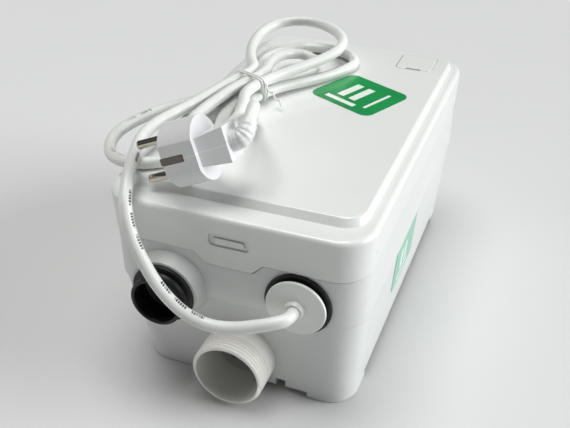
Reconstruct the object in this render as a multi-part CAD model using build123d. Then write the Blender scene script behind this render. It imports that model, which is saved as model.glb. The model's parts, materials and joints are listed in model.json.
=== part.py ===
from build123d import *
from math import cos, pi, radians, sin, tan
import os

# A small lifting pump for waste water: a moulded tank with a lid, a motor pump inside,
# an inlet spigot low on the front, a discharge socket and a cable outlet above it.
# Millimetres. X runs to the right seen from the front, Y to the back, Z up from the floor.

# Lid
lid_width = 152.0
lid_depth = 248.0
lid_corner = 20.0
rim_height = 117.0
skirt_height = 25.0
skirt_lean = 1.0
lid_wall = 2.5
rim_round = 3.0
panel_height = 4.0
panel_front_rim = 13.0
panel_side_rim = 6.5
panel_back_rim = 4.5
panel_front_slope = 5.0
panel_side_slope = 2.0
panel_corner = 14.0
panel_round = 1.5
tongue_width = 34.0
tongue_drop = 6.5
window_width = 23.0
window_height = 8.0
window_depth = 1.3
window_above_floor = rim_height - 14.5

# Tank
wall = 2.6
seam_gap = 0.5
band_setback = 1.6
band_line = 61.0
lower_setback = 2.4
foot_height = 4.0
foot_length = 36.0
left_foot_width = 38.0
right_foot_width = 26.0
left_bottom = 63.0
right_bottom = 69.5
front_bottom = 6.5
back_bottom = 7.0
bottom_corner = 17.0
floor_thickness = 3.0
neck_setback = 4.2
neck_wall = 3.0
neck_height = rim_height - 7.0
notch_height = 5.0
notch_width = 6.0

# Ports on the front
reach = 18.5
inlet_x = 4.0
inlet_z = 23.5
inlet_reach = 17.0
thread_radius = 20.95
inlet_bore = 18.5
inlet_neck = 20.3
port_pad = 6.6
discharge_x = -35.5
discharge_z = rim_height - 51.0
boss_reach = 8.0
boss_radius = 19.8
boss_base = 22.0
sleeve_radius = 15.0
sleeve_wall = 2.2
sleeve_collar = 18.2
sleeve_relief = 0.1
valve_bore = 13.2
cable_x = 39.8
cable_z = rim_height - 44.2
grommet_radius = 18.8
hub_radius = 15.5
disc_radius = 16.8
disc_front = 3.8
disc_thickness = 1.6
gland_reach = 6.4

# Filter under the small square cover
cover_size = 25.0
cover_x = 46.0
cover_depth = 224.0
cover_gap = 0.2
cover_height = 3.3
ledge = 1.8
filter_height = 9.0

# Motor pump
motor_x = 20.0
motor_depth = 165.0
motor_radius = 36.0
motor_wall = 2.0
volute_radius = 38.0
volute_base = 18.0
volute_top = 44.0
volute_wall = 3.0
impeller_radius = 29.0
intake_radius = 14.0
shaft_radius = 4.0
shaft_gap = 0.05
can_base = 52.0
can_top = rim_height - 19.0
core_base = can_base + 11.0
core_top = can_top - 15.0
cap_height = 7.0
mount_radius = 6.0
lug_reach = 45.0
lug_angles = (45, 160, 285)
nozzle_offset = 24.0
hose_bore = 10.2
hose_wall = 2.0

# Capacitor, lying along the back wall
capacitor_z = rim_height - 37.0
capacitor_depth = 26.0
capacitor_radius = 14.0
clip_half = 8.0

# Level float
float_x = -43.0
pivot_depth = 200.0
pivot_height = 74.0
float_depth = 150.0
float_height = 42.0
float_width = 36.0
pivot_pin = 2.0

# Cord
cord_radius = 3.5
strand_step = 8.0
lower_strand = 9.2
tie_x = -40.0
tie_depth = 129.0
tie_along = (0.35, 0.937)
tie_half = 14.0
barrel_length = 20.0
plug_length = 35.0

pin_gap = 0.05
rim_front = -(lid_depth + reach) / 2 + reach
back = rim_front + lid_depth
motor_y = rim_front + motor_depth
middle = lid_width / 2
seam = rim_height - skirt_height
panel_top = rim_height + panel_height
tank_floor = foot_height + floor_thickness


def outline(left, front, right, rear, height, corner):
    """Rounded rectangle, with each side given as its distance in from the lid's outline."""
    x0, x1 = -middle + left, middle - right
    y0, y1 = rim_front + front, back - rear
    return Pos((x0 + x1) / 2, (y0 + y1) / 2, height) * RectangleRounded(x1 - x0, y1 - y0, corner)


def even_outline(inset, height):
    return outline(inset, inset, inset, inset, height, lid_corner - inset)


def between(lower, upper):
    return loft([lower, upper])


def least_gap(path, radius):
    """Least space between two stretches of a tube that lie over five diameters apart along it."""
    step = 3.0
    count = int(path.length / step)
    places = [path @ (index / count) for index in range(count + 1)]
    skip = int(10 * radius / step) + 1
    nearest = min((a - b).length for i, a in enumerate(places) for b in places[i + skip:])
    return nearest - 2 * radius


def upright(x, y, radius, z0, z1):
    return Pos(x, y, (z0 + z1) / 2) * Cylinder(radius, z1 - z0)


def tube_up(x, y, outer, inner, z0, z1):
    return upright(x, y, outer, z0, z1) - upright(x, y, inner, z0 - 1, z1 + 1)


def along_y(x, z, radius, y0, y1):
    return Pos(x, (y0 + y1) / 2, z) * Rot(90, 0, 0) * Cylinder(radius, y1 - y0)


def tube_y(x, z, outer, inner, y0, y1):
    return along_y(x, z, outer, y0, y1) - along_y(x, z, inner, y0 - 1, y1 + 1)


def cone_y(x, z, front_radius, back_radius, y0, y1):
    return Pos(x, (y0 + y1) / 2, z) * Rot(90, 0, 0) * Cone(back_radius, front_radius, y1 - y0)


def along_x(y, z, radius, x0, x1):
    return Pos((x0 + x1) / 2, y, z) * Rot(0, 90, 0) * Cylinder(radius, x1 - x0)


def block(x0, x1, y0, y1, z0, z1):
    return Pos((x0 + x1) / 2, (y0 + y1) / 2, (z0 + z1) / 2) * Box(x1 - x0, y1 - y0, z1 - z0)


def slab_y(sketch, y0, y1):
    """A sketch drawn in X and Z, given thickness from y0 back to y1."""
    return Pos(0, y1, 0) * extrude(Plane.XZ * sketch, y1 - y0)


def bend_radii(points):
    """The largest arc that the two runs at each corner allow."""
    radii = []
    for before, corner, after in zip(points, points[1:], points[2:]):
        into = Vector(*corner) - Vector(*before)
        out = Vector(*after) - Vector(*corner)
        turn = radians(into.get_angle(out))
        radii.append(0.45 * min(into.length, out.length) / tan(turn / 2))
    return radii


def bent_tube(points, radius, name):
    radii = bend_radii(points)
    path = FilletPolyline(*points, radius=radii)
    section = Plane(origin=path @ 0, z_dir=path % 0) * Circle(radius)
    tube = sweep(section, path=path)
    share = tube.volume / (pi * radius**2 * path.length)
    print(name, "length", round(path.length), "bends", [round(bend) for bend in radii], "volume", round(share, 4))
    if path.length > 600:
        print(name, "least gap to itself", round(least_gap(path, radius), 2))
    return tube


def tank():
    bottom = outline(middle - left_bottom, front_bottom, middle - right_bottom, back_bottom,
                     foot_height, bottom_corner)
    line = even_outline(lower_setback, band_line)
    band = extrude(even_outline(band_setback, band_line), seam - seam_gap - band_line)
    neck = extrude(even_outline(neck_setback, band_line), neck_height - band_line)
    body = between(bottom, line) + band + neck

    inner_bottom = outline(middle - left_bottom + wall, front_bottom + wall, middle - right_bottom + wall,
                           back_bottom + wall, tank_floor, bottom_corner - wall)
    inner_line = even_outline(lower_setback + wall, band_line)
    inner_band = extrude(even_outline(band_setback + wall, band_line), seam - wall - band_line - 1)
    inner_neck = extrude(even_outline(neck_setback + neck_wall, band_line), neck_height - band_line + 1)
    body -= between(inner_bottom, inner_line) + inner_band + inner_neck

    # Pocket that the lid's tongue drops into
    tongue_room = slab_y(tongue_outline(0.45), rim_front, rim_front + lid_wall + 1.4)
    tongue_back = block(-tongue_width / 2 - 3, tongue_width / 2 + 3, rim_front + lid_wall + 1,
                        rim_front + lid_wall + 4, seam - tongue_drop - 4, seam - seam_gap)
    body = body + tongue_back - tongue_room

    # Feet
    room = extrude(Pos(0, 0, -foot_height) * bottom, foot_height)
    for x0, x1 in ((-left_bottom, -left_bottom + left_foot_width), (right_bottom - right_foot_width, right_bottom)):
        for y0 in (rim_front, back - foot_length):
            body += room & block(x0, x1, y0, y0 + foot_length, 0, foot_height)

    # Inlet: a thick ring inside the wall, and a finger notch beside it
    inside = rim_front + front_bottom
    ring = along_y(inlet_x, inlet_z, thread_radius + 3, inside, inside + 8)
    body += ring & block(-60, 60, inside, inside + 8, foot_height, 60)
    for x0 in (inlet_x - 9, inlet_x + 6):
        body += block(x0, x0 + 3, inside + 4, inside + 14.5, inlet_hinge()[1] - 1.9, inlet_hinge()[1] + 3)
    body -= along_x(inlet_hinge()[0], inlet_hinge()[1], 1.2 + 0.02, inlet_x - 10, inlet_x + 10)
    body -= along_y(inlet_x, inlet_z, inlet_neck + 0.05, rim_front - 5, inside + wall + 1)
    body -= along_y(inlet_x, inlet_z, inlet_bore, rim_front, inside + 9)
    notch_x = inlet_x + thread_radius + notch_width / 2 - 0.5
    body += block(notch_x - notch_width / 2 - wall, notch_x + notch_width / 2 + wall, inside + 1, inside + 8 + wall,
                  tank_floor - 1, foot_height + notch_height + wall)
    body -= block(notch_x - notch_width / 2, notch_x + notch_width / 2, rim_front, inside + 8, foot_height,
                  foot_height + notch_height)

    # Discharge boss, drawn out of the wall as a cone with a step at its mouth
    face = rim_front + band_setback
    boss = cone_y(discharge_x, discharge_z, boss_radius, boss_base, rim_front - boss_reach + 2, face + 2)
    boss += along_y(discharge_x, discharge_z, boss_radius, rim_front - boss_reach, rim_front)
    boss += along_y(discharge_x, discharge_z, 22.0, face + wall - 1, rim_front + port_pad)
    body += boss
    body -= along_y(discharge_x, discharge_z, 16.2, rim_front - boss_reach - 1, rim_front + 9)

    # Cable outlet
    body += along_y(cable_x, cable_z, 17.5, face + wall - 1, rim_front + port_pad)
    body -= along_y(cable_x, cable_z, 14.0, rim_front - 1, rim_front + 9)
    return body


def inlet_hinge():
    """Depth and height of the inlet flap's pin."""
    return rim_front + front_bottom + 10.9, inlet_z + thread_radius + 1.6


def tongue_outline(grow):
    """The lid's front tongue in X and Z, with sloping sides and every corner rounded."""
    top, low, drop = tongue_width / 2 + 3 + grow, tongue_width / 2 - 3.5 + grow, tongue_drop + grow
    shape = make_face(Polyline((-top, seam), (-low, seam - drop), (low, seam - drop), (top, seam), (low, seam + 3),
                               (-low, seam + 3), close=True))
    return fillet(shape.vertices().sort_by(Axis.Y)[:2], 4.0 + grow)


def lid():
    shell = between(even_outline(skirt_lean, seam), even_outline(0, rim_height))
    shell = fillet(shell.faces().sort_by(Axis.Z)[-1].edges(), rim_round)
    raised = between(
        outline(panel_side_rim, panel_front_rim, panel_side_rim, panel_back_rim, rim_height - 1, panel_corner),
        outline(panel_side_rim + panel_side_slope, panel_front_rim + panel_front_slope,
                panel_side_rim + panel_side_slope, panel_back_rim + 1, panel_top, panel_corner - 2))
    shell += fillet(raised.faces().sort_by(Axis.Z)[-1].edges(), panel_round)

    tongue = tongue_outline(0)
    shell += slab_y(tongue, rim_front + skirt_lean, rim_front + skirt_lean + lid_wall)

    hollow = between(even_outline(skirt_lean + lid_wall, seam - 1), even_outline(lid_wall, rim_height - lid_wall))
    under = between(
        outline(panel_side_rim + lid_wall, panel_front_rim + lid_wall, panel_side_rim + lid_wall,
                panel_back_rim + lid_wall, rim_height - lid_wall - 1, panel_corner - 2),
        outline(panel_side_rim + panel_side_slope + lid_wall, panel_front_rim + panel_front_slope + lid_wall,
                panel_side_rim + panel_side_slope + lid_wall, panel_back_rim + 1 + lid_wall,
                panel_top - lid_wall, panel_corner - 4))
    tongue_keep = slab_y(tongue, rim_front + skirt_lean, rim_front + skirt_lean + lid_wall)
    shell = shell - hollow - under + tongue_keep

    # Filter pocket below the square opening
    y = rim_front + cover_depth
    opening = cover_size + 2 * cover_gap
    pocket_floor = panel_top - cover_height + 0.3 - filter_height - 1.5
    pocket = Pos(cover_x, y, pocket_floor) * RectangleRounded(opening + 3, opening + 3, 4)
    shell += extrude(pocket, panel_top - 1 - pocket_floor)
    well = Pos(cover_x, y, pocket_floor + 1.5) * RectangleRounded(opening - 2 * ledge, opening - 2 * ledge, 2)
    shell -= extrude(well, filter_height + 0.3)
    seat = Pos(cover_x, y, panel_top - cover_height + 0.3) * RectangleRounded(opening, opening, 3)
    shell -= extrude(seat, cover_height + 1)
    for shift in (-7.5, -2.5, 2.5, 7.5):
        shell -= block(cover_x + shift - 1.2, cover_x + shift + 1.2, y - 8, y + 8, pocket_floor - 1, pocket_floor + 2)

    # Grip window with a low bar, in the front of the skirt
    face = rim_front + 0.4
    window = Pos(1, window_above_floor) * RectangleRounded(window_width, window_height, 2.5)
    shell -= slab_y(window, rim_front - 2, face + window_depth)
    bar = Pos(1, window_above_floor - 0.5) * RectangleRounded(window_width - 5, window_height - 4.5, 1.2)
    shell += slab_y(bar, face + window_depth - 0.9, face + window_depth + 0.5)
    return shell


def lid_seal():
    outer = even_outline(neck_setback, neck_height)
    inner = even_outline(neck_setback + neck_wall, neck_height)
    return extrude(outer - inner, rim_height - lid_wall - neck_height)


def filter_cover():
    y = rim_front + cover_depth
    plate = Pos(cover_x, y, panel_top - cover_height + 0.3) * RectangleRounded(cover_size, cover_size, 2.8)
    cover = extrude(plate, cover_height)
    cover = fillet(cover.faces().sort_by(Axis.Z)[-1].edges(), 0.8)
    return cover - block(cover_x - 5, cover_x + 5, y - cover_size / 2 - 1, y - cover_size / 2 + 1.2,
                         panel_top - 1, panel_top + 2)


def charcoal_filter():
    size = cover_size + 2 * cover_gap - 2 * ledge - 0.6
    base = panel_top - cover_height + 0.3 - filter_height
    block_form = extrude(Pos(cover_x, rim_front + cover_depth, base) * RectangleRounded(size, size, 1.8),
                         filter_height - 0.2)
    return block_form


def inlet_spigot():
    shoulder = rim_front
    tip = rim_front - inlet_reach
    end = rim_front + front_bottom + wall + 1
    body = along_y(inlet_x, inlet_z, thread_radius, tip, shoulder)
    body += along_y(inlet_x, inlet_z, inlet_neck, shoulder - 1, end)
    return body - along_y(inlet_x, inlet_z, inlet_bore, tip - 1, end + 1)


def inlet_flap():
    y, z = inlet_hinge()
    front = rim_front + front_bottom + 8.2
    plate = along_y(inlet_x, inlet_z, inlet_bore + 1, front, front + 2.4)
    plate &= block(-40, 60, front - 1, front + 4, tank_floor + 0.8, 80)
    plate += block(inlet_x - 5.6, inlet_x + 5.6, front, front + 2.4, inlet_z + 10, z)
    plate += along_x(y, z, 2.4, inlet_x - 5.6, inlet_x + 5.6)
    return plate - along_x(y, z, 1.2 + pin_gap, inlet_x - 7, inlet_x + 7)


def inlet_flap_pin():
    y, z = inlet_hinge()
    return along_x(y, z, 1.2, inlet_x - 9.5, inlet_x + 9.5)


def discharge_sleeve():
    mouth = rim_front - reach
    seat = rim_front - boss_reach - 2
    body = cone_y(discharge_x, discharge_z, sleeve_radius, sleeve_radius + 1, mouth, seat)
    body += along_y(discharge_x, discharge_z, sleeve_collar, seat, rim_front - boss_reach)
    body += along_y(discharge_x, discharge_z, 16.15, rim_front - boss_reach, rim_front - boss_reach + 3)
    body -= along_y(discharge_x, discharge_z, sleeve_radius - sleeve_wall, mouth - 1, rim_front)
    return body - along_y(discharge_x, discharge_z, valve_bore, rim_front - boss_reach - sleeve_relief, rim_front)


def valve_seat_depth():
    return rim_front + 36.0


def check_valve_body():
    x, z = discharge_x, discharge_z
    seat = valve_seat_depth()
    flange = rim_front + port_pad
    body = along_y(x, z, 18.5, flange + 3, seat + 6) + along_y(x, z, 21.0, flange, flange + 3)
    body += along_y(x, z, 16.1, rim_front - boss_reach + 3.3, flange + 1)
    body += cone_y(x, z, 18.5, 13.0, seat + 6, seat + 14) + along_y(x, z, hose_bore - 0.1, seat + 13, seat + 26)
    body -= along_y(x, z, 16.0, flange + 3, seat) + along_y(x, z, valve_bore, rim_front - boss_reach, flange + 4)
    body -= along_y(x, z, 8.0, seat - 1, seat + 30)
    for x0 in (x - 7, x + 4.3):
        body += along_y(x, z, 17.0, seat - 5, seat + 1) & block(x0, x0 + 2.7, seat - 6, seat + 2, z + 10.8, z + 20)
    return body - along_x(check_hinge()[0], check_hinge()[1], 1.03, x - 7.1, x + 7.1)


def check_hinge():
    return valve_seat_depth() - 2.6, discharge_z + 13.0


def check_flap():
    y, z = check_hinge()
    seat = valve_seat_depth()
    disc = along_y(discharge_x, discharge_z, 11.6, seat - 2.2, seat - 0.2)
    disc &= block(-80, 20, seat - 5, seat, 0, discharge_z + 9)
    disc += block(discharge_x - 3.9, discharge_x + 3.9, seat - 2.2, seat - 0.2, discharge_z + 8, z)
    disc += along_x(y, z, 2.0, discharge_x - 3.9, discharge_x + 3.9)
    return disc - along_x(y, z, 1.0 + pin_gap, discharge_x - 5, discharge_x + 5)


def check_flap_pin():
    y, z = check_hinge()
    return along_x(y, z, 1.0, discharge_x - 7, discharge_x + 7)


def nozzle():
    """Where the pump's outlet nozzle points forward: x, height, and the hose's rear end."""
    return motor_x - nozzle_offset, (volute_base + volute_top) / 2, motor_y - 60


def hose_route():
    x, z, y = nozzle()
    start = valve_seat_depth() + 15
    return [(discharge_x, start, discharge_z), (discharge_x, start + 23, discharge_z), (x, y - 17, z), (x, y + 10, z)]


def discharge_hose():
    outer = bent_tube(hose_route(), hose_bore + hose_wall, "hose")
    return outer - bent_tube(hose_route(), hose_bore, "hose bore")


def hose_clamps():
    outer = hose_bore + hose_wall
    x, z, y = nozzle()
    start = valve_seat_depth() + 16
    rings = []
    for ring_x, ring_z, y0 in ((discharge_x, discharge_z, start), (x, z, y + 1)):
        ring = tube_y(ring_x, ring_z, outer + 1.2, outer + 0.05, y0, y0 + 8)
        ring += block(ring_x - 3, ring_x + 3, y0 + 1, y0 + 7, ring_z + outer + 0.6, ring_z + outer + 5)
        rings.append(ring)
    return rings


def pump_volute():
    x, z, y = nozzle()
    floor_z, top = volute_base, volute_top
    body = upright(motor_x, motor_y, volute_radius, floor_z, top)
    body += along_y(x, z, 12.4, motor_y - 46, motor_y)
    body += along_y(x, z, hose_bore - 0.1, y, motor_y - 40)
    for angle in lug_angles:
        lug_x, lug_y = lug_place(angle)
        body += upright(lug_x, lug_y, mount_radius + 1.5, floor_z, floor_z + 5)
        body += Pos(motor_x, motor_y, floor_z + 2.5) * Rot(0, 0, angle) * Pos(lug_reach / 2, 0, 0) * Box(
            lug_reach, 8, 5)
    body -= upright(motor_x, motor_y, volute_radius - volute_wall - 2, floor_z - 1, top - volute_wall)
    body -= along_y(x, z, 8.0, y - 1, motor_y)
    body -= upright(motor_x, motor_y, 11.0, floor_z, top + 1)
    for angle in lug_angles:
        lug_x, lug_y = lug_place(angle)
        body -= upright(lug_x, lug_y, 2.2, floor_z - 1, floor_z + 8)
    return body


def lug_place(angle):
    return motor_x + lug_reach * cos(radians(angle)), motor_y + lug_reach * sin(radians(angle))


def intake_strainer():
    """Plate under the pump with a slotted skirt around the intake."""
    body = upright(motor_x, motor_y, volute_radius, volute_base - 3, volute_base)
    body += upright(motor_x, motor_y, 28.0, tank_floor + 1.5, volute_base - 2)
    body -= upright(motor_x, motor_y, 25.5, tank_floor, volute_base - 3)
    body -= upright(motor_x, motor_y, intake_radius, volute_base - 4, volute_base + 1)
    slots = 12
    for turn in range(slots):
        slot = Pos(motor_x, motor_y, tank_floor + 4) * Rot(0, 0, 360 / slots * turn) * Pos(27, 0, 0) * Box(8, 5, 6)
        body -= slot
    return body


def rubber_mounts():
    mounts = []
    for angle in lug_angles:
        x, y = lug_place(angle)
        post = upright(x, y, mount_radius, tank_floor, volute_base)
        mounts.append(post - upright(x, y, 2.2, volute_base - 8, volute_base + 1))
    return mounts


def mount_screws():
    screws = []
    for angle in lug_angles:
        x, y = lug_place(angle)
        screws.append(upright(x, y, 2.0, volute_base - 6, volute_base + 6) +
                      upright(x, y, 4.0, volute_base + 5, volute_base + 7.5))
    return screws


def impeller():
    base = volute_base + 7
    body = upright(motor_x, motor_y, impeller_radius, base, base + 2.5)
    body += upright(motor_x, motor_y, 9.0, base - 3, base + 12)
    blades = 6
    for turn in range(blades):
        blade = CenterArc((14, 9), 15, 200, 75)
        vane = extrude(Plane(origin=(0, 0, base + 2)) * trace(blade, 2.0), 9)
        body += Pos(motor_x, motor_y, 0) * Rot(0, 0, 360 / blades * turn) * vane
    return body - upright(motor_x, motor_y, shaft_radius, base - 5, base + 20)


def cutter_blade():
    top = volute_base + 3
    body = upright(motor_x, motor_y, 7.0, top - 8, top)
    for turn in (0, 180):
        arm = Pos(motor_x, motor_y, top - 6.5) * Rot(0, 0, turn) * Pos(8, 1.5, 0) * Box(9, 4, 3)
        body += arm
    return body - upright(motor_x, motor_y, shaft_radius + 0.02, top - 9, top + 1)


def motor_shaft():
    shaft = upright(motor_x, motor_y, shaft_radius, volute_base - 5, can_top - 1)
    return chamfer(shaft.edges(), 0.5)


def rotor_core():
    return tube_up(motor_x, motor_y, 16.5, shaft_radius + 0.02, core_base, core_top)


def seal_housing():
    body = upright(motor_x, motor_y, motor_radius - 5, volute_top, can_base)
    body += upright(motor_x, motor_y, motor_radius, can_base - 3, can_base)
    body += upright(motor_x, motor_y, 14.0, can_base, can_base + 7)
    body -= upright(motor_x, motor_y, 10.0, volute_top - 1, can_base)
    body -= upright(motor_x, motor_y, 11.0, can_base, can_base + 8)
    return body - upright(motor_x, motor_y, shaft_radius + 1, volute_top, can_base + 9)


def shaft_seal():
    return tube_up(motor_x, motor_y, 9.95, shaft_radius + shaft_gap, volute_top + 0.5, can_base - 2)


def bearing(z0):
    ring = tube_up(motor_x, motor_y, 10.95, shaft_radius + shaft_gap, z0, z0 + 7)
    return ring - tube_up(motor_x, motor_y, 8.6, 6.6, z0 + 6.2, z0 + 8)


def motor_can():
    body = tube_up(motor_x, motor_y, motor_radius, motor_radius - motor_wall, can_base, can_top)
    return body


def motor_cap():
    """Domed cap with the upper bearing's seat and a rim of cooling ribs."""
    body = upright(motor_x, motor_y, motor_radius, can_top, can_top + cap_height)
    body = fillet(body.faces().sort_by(Axis.Z)[-1].edges(), 4)
    body += upright(motor_x, motor_y, motor_radius - motor_wall - 0.1, can_top - 3, can_top)
    body += upright(motor_x, motor_y, 14.0, can_top - 11, can_top)
    body -= upright(motor_x, motor_y, 11.0, can_top - 12, can_top - 3.5)
    body -= upright(motor_x, motor_y, shaft_radius + 1, can_top - 12, can_top)
    ribs = 8
    for turn in range(ribs):
        groove = Pos(motor_x, motor_y, can_top + cap_height) * Rot(0, 0, 360 / ribs * turn) * Pos(22, 0, 0) * Box(
            16, 2.5, 3)
        body -= groove
    return body


def stator():
    core = tube_up(motor_x, motor_y, motor_radius - motor_wall - 0.1, 17.0, core_base, core_top)
    height = core_top - core_base
    slots = 12
    for turn in range(slots):
        slot = Pos(motor_x, motor_y, core_base + height / 2) * Rot(0, 0, 360 / slots * turn) * Pos(21, 0, 0) * Box(
            7, 4, height + 4)
        core -= slot
    return core


def stator_windings():
    rings = []
    for z0, z1 in ((core_base - 2.8, core_base - 0.1), (core_top + 0.1, core_top + 3.5)):
        rings.append(tube_up(motor_x, motor_y, 29.0, 18.5, z0, z1))
    return rings


def cap_screws():
    screws = []
    for angle in (30, 150, 270):
        x = motor_x + (motor_radius - 6) * cos(radians(angle))
        y = motor_y + (motor_radius - 6) * sin(radians(angle))
        screws.append(upright(x, y, 3.0, can_top + cap_height, can_top + cap_height + 2))
    return screws


def capacitor():
    body = along_x(back - capacitor_depth, capacitor_z, capacitor_radius, -6, 46)
    return fillet(body.edges(), 1.5)


def capacitor_clip():
    y = back - capacitor_depth
    inner_wall = back - band_setback - wall
    clip = block(12, 28, y, inner_wall - 0.2, capacitor_z - clip_half, capacitor_z + clip_half)
    return clip - along_x(y, capacitor_z, capacitor_radius + 0.1, 0, 40)


def control_box():
    y0, y1 = rim_front + pivot_depth + 8, back - neck_setback - neck_wall - 0.2
    body = block(float_x - 17, float_x + 17, y0, y1, pivot_height - 8, rim_height - 13)
    body = fillet(body.edges().filter_by(Axis.Z), 3)
    ears = []
    for x0 in (float_x - 9, float_x + 6):
        ears.append(block(x0, x0 + 3, y0 - 12, y0 + 1, pivot_height - 4.5, pivot_height + 4.5))
    body += ears
    return body - along_x(rim_front + pivot_depth, pivot_height, pivot_pin + 0.02, float_x - 12, float_x + 12)


def float_pin():
    return along_x(rim_front + pivot_depth, pivot_height, pivot_pin, float_x - 10, float_x + 10)


def float_arm():
    y, z = rim_front + pivot_depth, pivot_height
    end_y, end_z = rim_front + float_depth + 12, float_height + 12
    arm = Polyline((y, z), (y - 14, z - 2), (end_y, end_z))
    bar = extrude(Plane.YZ.offset(float_x - 2.5) * trace(arm, 4.0), 5)
    arm = bar + along_x(y, z, 4.0, float_x - 5.6, float_x + 5.6)
    return arm - along_x(y, z, pivot_pin + pin_gap, float_x - 7, float_x + 7)


def level_float():
    y = rim_front + float_depth
    body = block(float_x - float_width / 2, float_x + float_width / 2, y - 20, y + 20, float_height - 12,
                 float_height + 12)
    body = fillet(body.edges(), 5)
    end_y, end_z = rim_front + float_depth + 12, float_height + 12
    return body - block(float_x - 2.6, float_x + 2.6, end_y - 6, end_y + 9, end_z - 4.5, end_z + 4)


def cable_grommet():
    y = rim_front + band_setback
    pad = rim_front + port_pad
    hub_front = rim_front - disc_front + disc_thickness
    body = along_y(cable_x, cable_z, grommet_radius, rim_front, y)
    body += along_y(cable_x, cable_z, hub_radius, hub_front, y - 1)
    body += along_y(cable_x, cable_z, 13.9, y - 1, pad + 1)
    body += along_y(cable_x, cable_z, 15.5, pad, pad + 3)
    return body - along_y(cable_x, cable_z, 5.5, hub_front - 1, pad + 4)


def gland_disc():
    """Thin washer with a rounded front edge, pressed against the grommet."""
    front = rim_front - disc_front
    disc = along_y(cable_x, cable_z, disc_radius, front, front + disc_thickness)
    disc = fillet(disc.faces().sort_by(Axis.Y)[0].edges(), 0.6)
    return disc - along_y(cable_x, cable_z, 5.0, front - 1, front + disc_thickness + 1)


def gland_nut():
    tip, front = rim_front - gland_reach, rim_front - disc_front
    nose = cone_y(cable_x, cable_z, 4.6, 5.8, tip, front)
    stem = along_y(cable_x, cable_z, 4.9, front - 0.1, rim_front + 14)
    return nose + stem - along_y(cable_x, cable_z, cord_radius + 0.1, tip - 1, rim_front + 15)


def inner_lead():
    y = rim_front
    route = [(cable_x, y - gland_reach, cable_z), (cable_x, y + 30, cable_z), (32, y + 48, 84), (14, y + 63, 95),
             (-10, y + 82, 99), (-32, y + 112, 99), (-42, y + 142, 99), (-43, y + 170, 96), (-43, y + 188, 94),
             (-43, y + pivot_depth + 8, 94)]
    return bent_tube(route, cord_radius, "inner lead")


def spot(x, depth, above):
    """A point by its depth behind the lid's front edge and its height above the rim."""
    return (x, rim_front + depth, rim_height + above)


def plug_frame():
    """The plug lies on its side, its pins to the left; z along the pins, x along their row."""
    return Plane(origin=spot(-36.0, 17.0, 22.0), x_dir=(0.375, -0.17, -0.91), z_dir=(-0.924, -0.124, -0.360))


def plug_body():
    """Round earthed plug with two flats and a faceted grip that changes from tall to wide."""
    front = Circle(17.5) & Rectangle(36, 31)
    body = extrude(front, -barrel_length)
    body = chamfer(body.faces().sort_by(Axis.Z)[-1].edges(), 1.0)
    body += loft([Pos(0, 0, -barrel_length) * Rectangle(15, 24), Pos(0, 0, -plug_length) * Rectangle(19, 17)])
    for side in (-1, 1):
        body -= Pos(0, side * 15.5, -6) * Box(4, 2.4, 14)
    for side in (-9.5, 9.5):
        body -= Pos(side, 0, -1.5) * Cylinder(2.42, 3.2)
    return plug_frame() * body


def plug_pins():
    pins = []
    for side in (-9.5, 9.5):
        pin = Pos(side, 0, 8.0) * Cylinder(2.4, 22.0)
        pins.append(plug_frame() * fillet(pin.faces().sort_by(Axis.Z)[-1].edges(), 1.5))
    return pins


def earth_contacts():
    contacts = []
    for side in (-1, 1):
        contacts.append(plug_frame() * Pos(0, side * 14.7, -6) * Box(3.6, 0.8, 13))
    return contacts


def boot_route():
    start = plug_frame() * Pos(0, 0, -plug_length)
    corner = plug_frame() * Pos(0, 0, -plug_length - 9)
    return [tuple(start.position), tuple(corner.position), spot(5.2, 32, 43.2)]


def plug_boot():
    return bent_tube(boot_route(), cord_radius + 1.8, "plug boot")


def strand(slot, layer, ahead):
    """A strand of the hank where the tie holds it: slot across, layer up, ahead of or behind the tie."""
    along_x_share, along_y_share = tie_along
    x = tie_x + slot * strand_step * along_y_share + ahead * tie_half * along_x_share
    depth = tie_depth - slot * strand_step * along_x_share + ahead * tie_half * along_y_share
    return spot(x, depth, lower_strand + layer * strand_step)


lead_points = [
    spot(cable_x, -gland_reach, cable_z - rim_height), spot(cable_x, -12.2, cable_z - rim_height),
    spot(34, -17.5, -44.6), spot(21, -21.5, -48),
    spot(10.5, -23.5, -50.3), spot(-1, -24.5, -51), spot(-12, -25, -47.5), spot(-21.5, -25, -40.5),
    spot(-30, -24.8, -30), spot(-37, -23.5, -18), spot(-42.5, -21, -10), spot(-47.5, -16.5, -1.5),
    spot(-49.5, -13.5, 2.5)]

lid_run_points = [
    spot(-49.5, -13.5, 2.5), spot(-51.5, -10.5, 6.5), spot(-55, -1.5, 11.5), spot(-59, 10, 14.3),
    spot(-63.8, 24, 15.6), spot(-69.3, 40, 15.6), spot(-68.7, 57.6, 16), spot(-63.9, 74, 16),
    spot(-58.8, 88.4, 16.5)]
lid_run_points.append(tuple((a + b) / 2 for a, b in zip(lid_run_points[-1], strand(-1, 1, -1))))


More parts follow.
